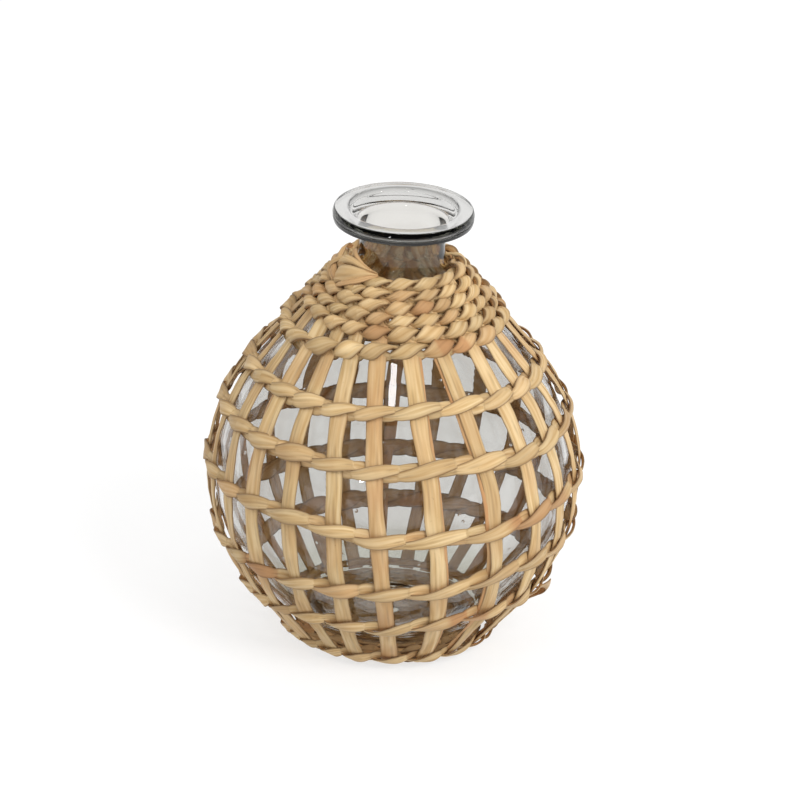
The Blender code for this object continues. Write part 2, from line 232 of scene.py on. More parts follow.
def skin(points, length, tone, closed):
    """Arrays of a tube's skin from a grid of points, one ring of points after another.

    Each four neighbours make a face. A closed tube joins its last ring to its first, and an open one
    gets a flat cap at each end. The map's first coordinate is the length in centimetres, and the
    second goes once round the ring.
    """
    rings, sides, _ = points.shape
    spans = rings if closed else rings - 1
    ring = np.repeat(np.arange(spans), sides)[:, None] + [0, 1, 1, 0]
    side = np.tile(np.arange(sides), spans)[:, None] + [0, 0, 1, 1]
    loops = (ring % rings * sides + side % sides).ravel()
    totals = np.full(len(ring), 4)
    uv = np.stack([length[ring] * 100, side / sides], axis=-1).reshape(-1, 2)
    if not closed:
        around = np.arange(sides)
        loops = np.concatenate([loops, around, (rings - 1) * sides + around[::-1]])
        totals = np.append(totals, [sides, sides])
        cap_uv = np.zeros((2 * sides, 2))
        cap_uv[sides:, 0] = length[-1] * 100
        uv = np.concatenate([uv, cap_uv])
    return points.reshape(-1, 3), loops, totals, uv, tone.reshape(-1, 3)


def joined(parts):
    """Arrays of several skins as one."""
    points, loops, *rest = zip(*parts)
    starts = np.cumsum([0] + [len(own) for own in points[:-1]])
    loops = [own + start for own, start in zip(loops, starts)]
    return [np.concatenate(column) for column in (points, loops, *rest)]


def volume_sign(points, loops, totals):
    """Sign of the volume that the faces hold, summed over fans of triangles from each first corner."""
    ends = np.cumsum(totals)
    first = loops[ends - totals]
    after = np.roll(loops, -1)
    after[ends - 1] = first
    crossed = np.cross(points[loops], points[after])
    return np.sign(np.einsum("ij,ij->i", points[np.repeat(first, totals)], crossed).sum())


def put_in_scene(name, data):
    """A new object of the scene with this data."""
    made = bpy.data.objects.new(name, data)
    bpy.context.scene.collection.objects.link(made)
    return made


def add_piece(name, arrays, finish, node, sharp=None):
    """Make an object from a skin's arrays, facing out, and let it stand for a node of the CAD."""
    points, loops, totals, uv, tone = arrays
    starts = np.cumsum(totals) - totals
    if volume_sign(points, loops, totals) < 0:
        order = np.repeat(2 * starts + totals - 1, totals) - np.arange(len(loops))
        loops = loops[order]
        uv = uv[order]
    mesh = bpy.data.meshes.new(name)
    mesh.vertices.add(len(points))
    mesh.loops.add(len(loops))
    mesh.polygons.add(len(totals))
    mesh.vertices.foreach_set("co", points.astype(np.float32).ravel())
    mesh.loops.foreach_set("vertex_index", loops.astype(np.int32))
    mesh.polygons.foreach_set("loop_start", starts.astype(np.int32))
    mesh.update(calc_edges=True)
    mesh.uv_layers.new(name="strip").data.foreach_set("uv", uv.astype(np.float32).ravel())
    marks = np.concatenate([tone, np.ones((len(tone), 1))], axis=1)
    shade = mesh.attributes.new("tone", "FLOAT_COLOR", "POINT")
    shade.data.foreach_set("color", marks.astype(np.float32).ravel())
    mesh.validate()
    mesh.shade_smooth()
    if sharp is not None:
        mesh.set_sharp_from_angle(angle=sharp)
    mesh.materials.append(finish)
    piece = put_in_scene(name, mesh)
    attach(piece, "root")
    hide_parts(node)


# The sleeve's middle surface

def sleeve_frame(azimuth, run):
    """Places, outward normals and upward tangents of the sleeve's middle at azimuths and runs.

    The meridian is an arc about the bottle's centre, and past either end of it the arc's tangent.
    """
    on_arc = np.clip(run, ARC_FOOT, ARC_TOP)
    beyond = run - on_arc
    level = np.cos(on_arc / SLEEVE_RADIUS)
    rise = np.sin(on_arc / SLEEVE_RADIUS)
    radius = SLEEVE_RADIUS * level - beyond * rise
    height = CENTRE_HEIGHT + SLEEVE_RADIUS * rise + beyond * level
    return (about_axis(azimuth, radius, height), about_axis(azimuth, level, rise),
            about_axis(azimuth, -rise, level))


def foot_run(height):
    """Run down the meridian at which the middle of the foot's cone is at this height."""
    cone_top = CENTRE_HEIGHT - SLEEVE_RADIUS * math.sin(CONE_ANGLE)
    return ARC_FOOT - (cone_top - height) / math.cos(CONE_ANGLE)


def mat_frame(azimuth, radius):
    """Places, downward normals and outward tangents in the middle of the mat under the bottle."""
    middle = (MAT_LOW[2] + MAT_HIGH[2]) / 2
    return about_axis(azimuth, radius, middle), about_axis(azimuth, 0, -1), about_axis(azimuth, 1, 0)


def stake_table():
    """Equator azimuth, lean and bow of every stake, in radians."""
    front = np.array(FRONT_STAKES)
    azimuths = ring_azimuths(front[:, 0], STAKE_COUNT)
    rng = np.random.default_rng(11)
    rest = STAKE_COUNT - len(front)
    lean = np.concatenate([front[:, 1], STAKE_LEAN + rng.normal(0, 0.7, rest)])
    bow = np.concatenate([front[:, 2], rng.normal(-0.4, 0.5, rest)])
    return azimuths, np.radians(lean), np.radians(bow)


def stake_azimuth(table, run):
    """Azimuth of stakes at a run: the equator's, plus the lean by share and the bow by its square."""
    azimuths, lean, bow = table
    share = run / ARC_TOP
    return azimuths + lean * share + bow * share ** 2


def redness(name, azimuth):
    """How red a row is at azimuths, from 0 to 1, by the list of redder segments."""
    amount = np.zeros_like(azimuth)
    for row, middle, span in RED_SEGMENTS:
        if row == name:
            away = (np.degrees(azimuth) - middle + 180) % 360 - 180
            amount = np.maximum(amount, 1 - step_between(0.75, 1.15, np.abs(away) / span))
    return amount


# Sections across a path

def superellipse(sides, power_x, power_y):
    """A unit superellipse: cosine and sine of the angle, each raised to its power."""
    angle = np.arange(sides) / sides * math.tau
    return signed_power(np.cos(angle), power_x), signed_power(np.sin(angle), power_y)


def section_points(path, broad_axis, thin_axis, x, y, rough, wavelength, seed):
    """Points at x and y on the two axes across each place of a path, roughened by noise."""
    points = path[:, None] + x[..., None] * broad_axis[:, None] + y[..., None] * thin_axis[:, None]
    return points + rough * smooth_noise(points, wavelength, seed)[..., None] * thin_axis[:, None]


def rush_tone(red, shade, light, y):
    """Marks of redness, painted shade and lightness, with painted light and more red on the side to the
    glass.
    """
    inner = y < 0
    red = np.clip(red + INNER_REDNESS * inner, 0, 1)
    return np.stack(np.broadcast_arrays(red, shade, light + INNER_PAINTED_LIGHT * inner), axis=-1)


# Twined strands

# Creases along a strand: place, width and depth, as shares of the half width and of the look's crease
STRAND_CREASES = ((0.0, 0.11, 1.0), (-0.5, 0.09, 0.6), (0.45, 0.08, 0.5))

# Redness that a segment may have of its own, and how often it has it
SEGMENT_REDNESS = (0.0, 0.1, 0.22, 0.4)
SEGMENT_ODDS = (0.45, 0.3, 0.17, 0.08)

# Looks of strands: lift, thin, gather, crease, ridge, rough and shift are lengths, swing, broad and narrow
# shares of the row's height, twist and roll angles, steps and sides counts of faces, taper and
# square powers, and shade the depth of painted shade on the passes inside
PLUMP = dict(steps=22, sides=30, lift=0.0018, swing=0.29, twist=0.95, roll=0.14, taper=0.8, broad=0.60,
             narrow=0.25, thin=0.00135, gather=-0.00045, square=2.1, uneven=0.10, crease=0.00050,
             ridge=0.00010, rough=0.00006, shift=0.0002, crease_side=0.12, shade=0.12)
RIBBON = dict(steps=22, sides=28, lift=0.0016, swing=0.23, twist=0.42, roll=0.08, taper=0.75, broad=0.51,
              narrow=0.32, thin=0.00052, gather=0.00012, square=2.3, uneven=0.09, crease=0.00018,
              ridge=0.00004, rough=0.00005, shift=0.0003, crease_side=0.1, shade=0.0)
MAT_ROW = dict(RIBBON, steps=12, sides=16, lift=0.00065, swing=0.27, twist=0.4, roll=0.05, taper=0.8,
               broad=0.52, narrow=0.28, thin=0.00062, gather=0.0001, uneven=0.05, crease=0.00015,
               shift=0.0001, shade=0.3)


def strand_arrays(name, frame_at, anchors, run_of, height, phase, seed, look):
    """Skin of one strand of a twined pair.

    It passes outside every second anchor and inside the others, and circles the middle surface once
    in two anchors: the lift off it is a cosine of the turn and the way up it a sine, so the outside
    segments lean. The section is a flattened superellipse, broad over an anchor and gathered where
    the pair crosses, and it tips by a sine of the turn, so its face looks up at one end of a segment
    and down at the other.
    """
    count = len(anchors)
    steps = look["steps"]
    s = np.arange(count * steps) / steps
    turn = math.pi * (s + phase)[:, None]
    rng = np.random.default_rng(seed)
    whole = np.arange(count)
    azimuth = through_knots(whole, anchors, s, count, math.tau)
    # The spare draw keeps the draws after it as they are
    vary = {key: through_knots(whole, rng.normal(0, 1, count), s, count)[:, None]
            for key in ("broad", "thin", "lift", "shift", "roll", "crease", "spare")}
    outside = np.cos(turn)
    over = np.abs(outside)
    across = np.sin(turn)

    place, normal, tangent = frame_at(azimuth, run_of(azimuth) + look["shift"] * vary["shift"][:, 0])
    lift = look["lift"] * signed_power(outside, 0.85) * (1 + 0.1 * vary["lift"])
    centre = place + lift * normal + look["swing"] * height * across * tangent
    along = unit(np.roll(centre, -1, axis=0) - np.roll(centre, 1, axis=0))
    bearing = look["twist"] * across + look["roll"] * vary["roll"] * over
    thin_axis = np.cos(bearing) * normal + np.sin(bearing) * tangent
    thin_axis = unit(thin_axis - (thin_axis * along).sum(axis=1, keepdims=True) * along)

    broad = height * (look["narrow"] + (look["broad"] - look["narrow"]) * over ** look["taper"])
    broad = broad * (1 + look["uneven"] * vary["broad"])
    thin = look["thin"] * (1 + 0.5 * look["uneven"] * vary["thin"]) + look["gather"] * (1 - over)
    x, y = superellipse(look["sides"], 2 / look["square"], 2 / look["square"])
    wander = 0.35 * vary["crease"] + look["crease_side"] * outside
    crease = crests(x - wander, STRAND_CREASES)
    folds = np.sin(5.5 * x + 3 * vary["crease"] + 0.7 * turn)
    depth = look["crease"] * crease * (0.35 + 0.65 * (1 - over)) - look["ridge"] * folds
    points = section_points(centre, np.cross(thin_axis, along), thin_axis, broad * x,
                            thin * y - signed_power(y, 0.5) * depth, look["rough"], 0.004, seed + 1)

    def by_segment(values):
        """One value for each segment, from one crossing of the pair to the next."""
        return np.roll(np.repeat(values, steps), -(steps // 2))[:, None]

    own_red = by_segment(rng.choice(SEGMENT_REDNESS, count, p=SEGMENT_ODDS))
    own_light = by_segment(rng.uniform(0.1, 0.9, count))
    red = np.clip(0.75 * redness(name, azimuth)[:, None] * (outside > -0.2) + own_red, 0, 1)
    # Painted shade: on the passes inside the stakes, in the creases, and on the edges, which are partly the
    # leaf's darker margins and partly painted shade between strands
    inside_shade = look["shade"] * step_between(0.25, -0.35, outside)
    groove = np.clip(crease * (np.abs(y) > 0.3), 0, 1) ** 2 * (0.5 + 0.5 * (1 - over))
    shade = np.clip(inside_shade + 0.5 * groove + 0.95 * np.abs(x) ** 5, 0, 1)
    length = path_length(np.concatenate([centre, centre[:1]]))
    return skin(points, length, rush_tone(red, shade, own_light, y), closed=True)


def pair_arrays(name, frame_at, anchors, run_of, height, seed, look):
    """Skins of both strands of a twined row."""
    return [strand_arrays(name, frame_at, anchors, run_of, height, phase, seed + 10 * phase, look)
            for phase in (0, 1)]


def twined_rows():
    """Name, anchors, height, run by azimuth and look of each row, from the neck to the foot."""
    for number, (count, front) in enumerate(COLLAR_SEGMENTS):
        drop = LAST_ROW_DROP if number == len(COLLAR_SEGMENTS) - 1 else 0.0

        def collar_run(azimuth, run=COLLAR_RUNS[number], drop=drop):
            return run - drop * ((1 - np.sin(azimuth)) / 2) ** 3

        anchors = ring_azimuths(front, count)
        yield f"collar_row_{number + 1}", anchors, COLLAR_HEIGHTS[number], collar_run, PLUMP
    table = stake_table()
    for number, (azimuths, runs) in enumerate(BAND_RUNS):

        def band_run(azimuth, knots=np.radians(azimuths), heights=np.array(runs) / 1000):
            return through_knots(knots, heights, azimuth, math.tau)

        yield f"band_{number + 1}", stake_azimuth(table, band_run(table[0])), BAND_HEIGHT, band_run, RIBBON
    low = foot_run(FOOT_ROW_MIDDLE)
    yield "foot_row", stake_azimuth(table, low), FOOT_ROW_HEIGHT, lambda azimuth: low, RIBBON


# Flat strips

# Creases along a strip from its fold, as for a strand
STRIP_CREASES = ((0.0, 0.07, 1.0), (0.5, 0.06, 0.5))
STAKE_LOOK = dict(sides=30, roll=0.10, uneven=0.05, fold_at=0.1, curl=0.0003, crease=0.00024,
                  ridge=0.00002, rough=0.00007, edge=0.8)

# The stake of the front that is redder than the rest, the width of a stake behind as a share of one in
# front, and the most half width as a share of the way to the next stake
REDDER_STAKE = 4
HIDDEN_STAKE_WIDTH = 0.84
STAKE_ROOM = 0.42

# Stakes with a second strip behind, and the side on which it shows; then its shift and its width, as
# shares of the stake's half width and width, and how far behind it lies
DOUBLED_STAKES = {5: 1, 6: -1, 7: 1, 8: 1, 1: -1, 12: 1, 16: -1, 20: 1}
SECOND_SHIFT = 0.45
SECOND_WIDTH = 0.8
SECOND_SETBACK = 0.0009

# Strip ends: knots of azimuth in degrees, run, lift off the sleeve and half width in millimetres,
# then how sharply each strip is folded
TUCKED_STRIPS = (
    (((-66, 106.4, 1.4, 1.5), (-56, 108.2, 3.0, 2.0), (-43, 111.8, 3.8, 1.8), (-32, 114.8, 4.0, 1.1),
      (-22.5, 116.8, 3.1, 0.25)), 0.0004),
    (((-74, 108.0, 1.8, 3.0), (-61, 110.4, 4.2, 3.7), (-47, 113.4, 5.0, 3.1), (-34, 115.9, 4.6, 1.7),
      (-22.6, 117.1, 3.4, 0.3)), 0.0009),
    (((-90, 111.5, 1.6, 1.4), (-75, 114.4, 4.0, 1.7), (-59, 115.6, 4.6, 1.3), (-41, 116.9, 4.6, 0.8),
      (-23.4, 117.5, 3.3, 0.2)), 0.0007),
    (((-80, 112.4, 3.4, 2.2), (-70, 116.6, 5.8, 2.6), (-56, 118.3, 5.9, 2.0), (-41, 118.2, 5.0, 1.1),
      (-24.0, 117.8, 3.5, 0.2)), 0.0013),
    (((-88, 121.6, 0.5, 0.9), (-72, 122.4, 2.6, 1.4), (-57, 121.2, 4.0, 1.2), (-42, 119.7, 3.8, 0.7),
      (-27.0, 118.3, 2.9, 0.2)), 0.0005),
    (((-76, 105.4, 2.2, 0.9), (-80, 109.4, 5.2, 1.5), (-78, 113.6, 6.2, 1.5), (-72, 117.2, 5.6, 1.1),
      (-66, 120.0, 3.4, 0.4)), 0.0008),
    (((-104, 112.0, 2.6, 1.4), (-92, 113.2, 4.8, 2.0), (-80, 112.0, 5.4, 2.0), (-70, 109.4, 3.8, 1.4),
      (-64, 107.0, 1.4, 0.5)), 0.0009),
    (((-98, 109.0, 1.8, 1.0), (-88, 110.4, 3.8, 1.4), (-79, 109.4, 4.4, 1.4), (-72, 107.6, 3.2, 1.0),
      (-67, 105.6, 1.2, 0.4)), 0.0007),
    (((-112, 118.0, 1.2, 1.0), (-100, 119.6, 3.4, 1.6), (-88, 118.6, 4.8, 1.6), (-78, 115.6, 4.9, 1.1),
      (-72, 112.6, 3.0, 0.4)), 0.0005),
)
BAND_TAIL = (
    (((66, -43.0, 1.6, 1.6), (74, -45.0, 3.6, 2.8), (80, -49.5, 5.0, 2.7), (82, -55.0, 4.6, 2.2),
      (80, -60.0, 2.6, 1.2)), 0.0003),
)
END_REDNESS = (0.5, 0.25, 0.65, 0.35)
END_HALF_DEPTH = 0.00045


def strip_arrays(place, normal, half_width, half_depth, seed, look, shift=0.0):
    """Skin of a flat strip along a path, with a fold line, a curl and closed ends.

    The section is a thin superellipse. It is bent along its fold, as a shallow V, and its edges curl
    by the square of their distance from the middle. It rolls a little about the path as it goes. With
    a shift, as a share of the half width, it is a second strip, behind the path and to its side.
    """
    across = unit(np.cross(unit(np.gradient(place, axis=0)), normal))
    if shift:
        place = place + shift * half_width[:, None] * across - SECOND_SETBACK * normal
        half_width = SECOND_WIDTH * half_width
    length = path_length(place)

    def noise_along(wavelength, key):
        """Smooth noise with one value for each section of the strip."""
        return smooth_noise(length[:, None], wavelength, seed + key)[:, None]

    rng = np.random.default_rng(seed)
    roll = look["roll"] * noise_along(0.055, 2)
    broad_axis = np.cos(roll) * across + np.sin(roll) * normal
    thin_axis = np.cos(roll) * normal - np.sin(roll) * across
    x, y = superellipse(look["sides"], 0.9, 0.6)
    width = half_width[:, None] * (1 + look["uneven"] * noise_along(0.03, 3))
    from_fold = x - (look["fold_at"] + 0.12 * noise_along(0.05, 4))
    fold_size = look["fold"] * (1 + 0.4 * noise_along(0.04, 5))
    bend = fold_size * np.sqrt(from_fold ** 2 + 0.01) - look["curl"] * x ** 2
    crease = crests(from_fold, STRIP_CREASES)
    ridges = np.sin(11 * x + rng.uniform(0, 6) + 2 * noise_along(0.05, 6))
    depth = look["crease"] * crease - look["ridge"] * ridges
    local_y = half_depth * y + bend - signed_power(y, 0.5) * depth
    points = section_points(place, broad_axis, thin_axis, width * x, local_y, look["rough"], 0.005, seed + 7)
    red = np.clip(look["red"] + 0.15 * noise_along(0.05, 8), 0, 1)
    # Painted shade along the creases; the dark edges are the leaf's darker margins
    shade = np.clip(0.35 * crease + look["edge"] * np.abs(x) ** 10, 0, 1)
    return skin(points, length, rush_tone(red, shade, rng.uniform(0.42, 0.87), y), closed=False)


def stake_arrays(number, table, sizes):
    """Skin of a stake from the foot to the collar, and for some of a second strip beside it."""
    row = 2 if number % 2 else 0
    top = COLLAR_RUNS[row] + COLLAR_HEIGHTS[row] / 2
    run = np.linspace(foot_run(STAKE_FOOT_HEIGHT), top, sizes.stake_steps)
    own = tuple(column[number] for column in table)
    azimuth = stake_azimuth(own, run) + 0.004 * smooth_noise(run[:, None], 0.04, WAVER_SEED + number)
    place, normal, _ = sleeve_frame(azimuth, run)
    neighbours = np.sort((table[0] - table[0][number]) % math.tau)
    room = STAKE_ROOM * min(neighbours[1], math.tau - neighbours[-1]) * np.hypot(place[:, 0], place[:, 1])
    rng = np.random.default_rng(STAKE_SEED + number)
    share = 1.0 if number < len(FRONT_STAKES) else HIDDEN_STAKE_WIDTH
    half_width = np.minimum(share * sizes.stake_width / 2 * rng.uniform(0.94, 1.08), room)
    half_depth = sizes.stake_thickness / 2
    look = dict(STAKE_LOOK, fold_at=rng.uniform(-0.35, 0.35),
                fold=rng.choice([-1, 1], p=[0.7, 0.3]) * rng.uniform(0.0002, 0.0005),
                red=0.4 if number == REDDER_STAKE else rng.uniform(0, 0.12))
    seed = 40 * number
    parts = [strip_arrays(place, normal, half_width, half_depth, seed, look)]
    if number in DOUBLED_STAKES:
        look.update(red=0.8, edge=0.2)
        parts.append(strip_arrays(place, normal, half_width, half_depth, seed + 9, look,
                                  SECOND_SHIFT * DOUBLED_STAKES[number]))
    return joined(parts)


def end_arrays(strips, seed):
    """Skin of loose strips, each a flat strip along a smooth curve through its knots."""
    parts = []
    for number, (knots, fold) in enumerate(strips):
        knots = np.array(knots, float)
        at = np.linspace(0, len(knots) - 1, 12 * len(knots))
        azimuth, run, lift, half_width = (
            through_knots(np.arange(len(knots)), column, at, 1000.0) for column in knots.T)
        place, normal, _ = sleeve_frame(np.radians(azimuth), run / 1000)
        place = place + lift[:, None] / 1000 * normal
        look = dict(STAKE_LOOK, fold=-fold, curl=0.0002, roll=0.35, uneven=0.16, red=END_REDNESS[number % 4])
        parts.append(strip_arrays(place, normal, half_width / 1000, END_HALF_DEPTH, seed + 20 * number, look))
    return joined(parts)


# The bottle

def arc(centre, radius, start, end, steps):
    """Points of an arc in the plane of radius and height, angles in radians from straight out."""
    turn = np.linspace(start, end, steps + 1)
    return np.stack([centre[0] + radius * np.cos(turn), centre[1] + radius * np.sin(turn)], axis=1)


def rounded(points, radii, steps):
    """A run of points with each inner corner eased by a quadratic curve that starts its radius off."""
    out = [points[:1]]
    for before, corner, after, radius in zip(points[:-2], points[1:-1], points[2:], radii):
        back = unit(before - corner) * min(radius, np.linalg.norm(before - corner) * 0.49)
        on = unit(after - corner) * min(radius, np.linalg.norm(after - corner) * 0.49)
        t = np.linspace(0, 1, steps + 1)[:, None]
        out.append((1 - t) ** 2 * (corner + back) + 2 * t * (1 - t) * corner + t ** 2 * (corner + on))
    out.append(points[-1:])
    return np.concatenate(out)


def bottle_profile(sizes):
    """Radius and height from the middle of the inner floor, up the inside, over the rim and down."""
    centre = np.array([0.0, CENTRE_HEIGHT])
    inner = GLASS_RADIUS - sizes.wall
    bore = NECK_RADIUS - sizes.wall
    floor_z = GLASS_BOTTOM + sizes.base_thickness
    floor_angle = math.asin((floor_z - CENTRE_HEIGHT) / inner)
    base_angle = -math.acos(BASE_RADIUS / GLASS_RADIUS)
    rim_z = GLASS_TOP - sizes.rim_thickness
    groove_z = rim_z + GROOVE_SHARE * sizes.rim_thickness

    def on_circle(radius, angle):
        return arc(centre, radius, angle, angle, 0)[0]

    def shoulder_end(radius, neck):
        """Height at which the shoulder's cone reaches the neck."""
        start_r, start_z = on_circle(radius, CONE_ANGLE)
        return start_z + (start_r - neck) / math.tan(CONE_ANGLE)

    floor_end = on_circle(inner, floor_angle)
    floor = rounded(np.array([[0.0, floor_z + 0.002], [floor_end[0] * 0.5, floor_z + 0.0012], floor_end,
                              on_circle(inner, floor_angle + 0.12)]), [0.008, 0.005], 8)
    body_in = arc(centre, inner, floor_angle + 0.14, CONE_ANGLE, 46)
    mouth = sizes.mouth_radius
    rim = sizes.rim_radius
    # Corners of the funnel and the rim's top: radius, depth under the top
    funnel = ((bore, 0.0135), (bore + 0.0015, 0.0068), (bore + 0.0047, 0.0041),
              (mouth - 0.0016, 0.0022), (mouth - 0.0009, 0.0019), (mouth - 0.0003, 0.0004),
              (mouth + 0.0009, 0.0), (rim - 0.0008, 0.0001))
    upper = rounded(np.array([
        body_in[-1] + np.array([-0.0006, 0.0006 / math.tan(CONE_ANGLE)]),
        [bore, shoulder_end(inner, bore)],
        *([radius, GLASS_TOP - depth] for radius, depth in funnel),
        [rim, groove_z + 0.0006],
        [rim - 0.0009, groove_z],
        [rim - 0.0002, groove_z - 0.0007],
        [rim - 0.0006, rim_z + 0.0001],
        [NECK_RADIUS, rim_z + 0.0001],
        [NECK_RADIUS, shoulder_end(GLASS_RADIUS, NECK_RADIUS)],
        on_circle(GLASS_RADIUS, CONE_ANGLE),
    ]), [0.006, 0.0050, 0.0030, 0.0022, 0.0012, 0.0005, 0.0006, 0.0006, 0.0007, 0.0006, 0.0004, 0.0005,
         0.0005, 0.0022, 0.008], 7)
    body_out = arc(centre, GLASS_RADIUS, CONE_ANGLE - 0.01, base_angle + 0.06, 60)
    ring = BASE_RADIUS - sizes.base_ring
    push_z = GLASS_BOTTOM + sizes.push_up
    foot = rounded(np.array([body_out[-1], [BASE_RADIUS, GLASS_BOTTOM], [ring, GLASS_BOTTOM],
                             [ring * 0.45, push_z], [0.0, push_z]]), [0.004, 0.002, 0.006], 7)
    return np.concatenate([floor, body_in, upper, body_out, foot[1:]])


def bottle_tone(across, up, sizes):
    """Marks along the profile: painted shade on the rim where it is dark edge-on, the thick base, and
    painted brown shade on the outer neck.
    """
    rim_z = GLASS_TOP - sizes.rim_thickness
    # Painted shade on the rim: full over its side, lighter at the groove and towards its bottom edge, a dark
    # line at the mouth's edge, and a little over the top
    share = (up - rim_z) / sizes.rim_thickness
    level = 1 - crests(share, ((GROOVE_SHARE, 0.05, 0.3),)) - 0.012 * (share < 0.42)
    level = level - 0.25 * step_between(0.10, 0.02, share)
    side = level * step_between(sizes.rim_radius - 0.0014, sizes.rim_radius - 0.0009, across)
    mouth_edge_shade = crests(across, ((sizes.mouth_radius, 0.0007, 0.75),)) * (up > GLASS_TOP - 0.003)
    top = 0.20 * (up > GLASS_TOP - 0.0006)
    rim = np.maximum.reduce([side, mouth_edge_shade, top]) * (up > rim_z - 0.001)
    base = step_between(GLASS_BOTTOM + 0.022, GLASS_BOTTOM + 0.011, up)
    # Painted brown shade on the outer neck, standing in for the rush seen through it
    neck = step_between(GLASS_TOP - 0.030, GLASS_TOP - 0.024, up) * (up < rim_z)
    outer = (np.arange(len(up)) > np.argmax(up)) & (across < NECK_RADIUS + 0.002)
    return np.stack([rim, base, neck * outer], axis=-1)


def bottle_arrays(sizes):
    """Skin of the bottle: its profile turned round the axis, with its two poles as flat caps.

    The wall waves a little, as blown glass does: the radius of each point changes by smooth noise
    that fades towards the axis.
    """
    profile = bottle_profile(sizes)
    profile[[0, -1], 0] = POLE_RADIUS
    azimuth = np.arange(sizes.glass_columns) / sizes.glass_columns * math.tau
    radius = profile[:, :1]
    points = about_axis(azimuth, radius, profile[:, 1:])
    wave = smooth_noise(points, 0.05, 3) * sizes.wave * step_between(0.02, 0.05, radius)
    points[..., :2] += outward(azimuth) * wave[..., None]
    tone = np.broadcast_to(bottle_tone(*profile.T, sizes)[:, None], points.shape)
    return skin(points, path_length(profile), tone, closed=False)


# Node building

def feed(tree, node, inputs):
    """Link inputs of a node to sockets, or set them to numbers or colours; None leaves one as it is."""
    for key, value in inputs.items():
        socket = node.inputs[key]
        if isinstance(value, bpy.types.NodeSocket):
            tree.links.new(value, socket)
        elif hasattr(value, "__len__"):
            socket.default_value = (*value, 1.0)
        elif value is not None:
            socket.default_value = value


def add_node(tree, kind, inputs=None, **settings):
    """A shader node with its settings, its inputs fed."""
    made = tree.nodes.new(kind)
    for key, value in settings.items():
        setattr(made, key, value)
    feed(tree, made, inputs or {})
    return made


def math_node(tree, operation, first, second=None, clamp=False):
    """Result of a Math node."""
    inputs = {0: first, 1: second}
    return add_node(tree, "ShaderNodeMath", inputs, operation=operation, use_clamp=clamp).outputs[0]


def mix_colours(tree, factor, first, second, blend="MIX"):
    """Result of a colour Mix node."""
    inputs = {0: factor, 6: first, 7: second}
    return add_node(tree, "ShaderNodeMix", inputs, data_type="RGBA", blend_type=blend).outputs[2]


def spread(tree, value, low, high, start=0.0, end=1.0):
    """A value moved by a smooth step from one span to another."""
    inputs = {"Value": value, "From Min": low, "From Max": high, "To Min": start, "To Max": end}
    return add_node(tree, "ShaderNodeMapRange", inputs, interpolation_type="SMOOTHSTEP").outputs["Result"]


def noise(tree, place, scale, detail=None, roughness=None):
    """Noise from 0 to 1 at a place."""
    inputs = {"Vector": place, "Scale": scale, "Detail": detail, "Roughness": roughness}
    return add_node(tree, "ShaderNodeTexNoise", inputs).outputs["Fac"]


def bent_normal(tree, relief, strength, distance):
    """Normals bent by a relief."""
    inputs = {"Height": relief, "Strength": strength, "Distance": distance}
    return add_node(tree, "ShaderNodeBump", inputs).outputs[0]


def new_finish(name):
    """A material with its node tree and its shader."""
    finish = bpy.data.materials.new(name)
    finish.use_nodes = True
    return finish, finish.node_tree, finish.node_tree.nodes["Principled BSDF"]


def surface(tree):
    """Place in the object, and the three marks that each piece carries in its tone attribute."""
    place = add_node(tree, "ShaderNodeTexCoord").outputs["Object"]
    tone = add_node(tree, "ShaderNodeAttribute", attribute_name="tone", attribute_type="GEOMETRY")
    return place, *add_node(tree, "ShaderNodeSeparateColor", {0: tone.outputs["Color"]}).outputs


def rush_fibre_group():
    """Streaks along a strip: fine fibres and broad stripes on its map, and blotches in space."""
    group = bpy.data.node_groups.new("rush_fibres", "ShaderNodeTree")
    for key in ("Length", "Round", "Place", "Strip"):
        kind = "NodeSocketVector" if key == "Place" else "NodeSocketFloat"
        group.interface.new_socket(name=key, in_out="INPUT", socket_type=kind)
    for key in ("Fine", "Stripe", "Blotch", "Fleck"):
        group.interface.new_socket(name=key, in_out="OUTPUT", socket_type="NodeSocketFloat")
    given = add_node(group, "NodeGroupInput").outputs
    sink = add_node(group, "NodeGroupOutput")
    offset = math_node(group, "MULTIPLY", given["Strip"], 37.0)
    for key, stretch, turns, detail in (("Fine", 0.45, 15.0, 1.5), ("Stripe", 0.25, 5.0, 1.0)):
        along = math_node(group, "MULTIPLY", given["Length"], stretch)
        around = math_node(group, "MULTIPLY", given["Round"], turns)
        vector = add_node(group, "ShaderNodeCombineXYZ", {0: along, 1: around, 2: offset})
        feed(group, sink, {key: noise(group, vector.outputs[0], 1.0, detail, 0.6)})
    for key, scale, detail in (("Blotch", 70.0, 3.0), ("Fleck", 900.0, 2.0)):
        feed(group, sink, {key: noise(group, given["Place"], scale, detail)})
    return group


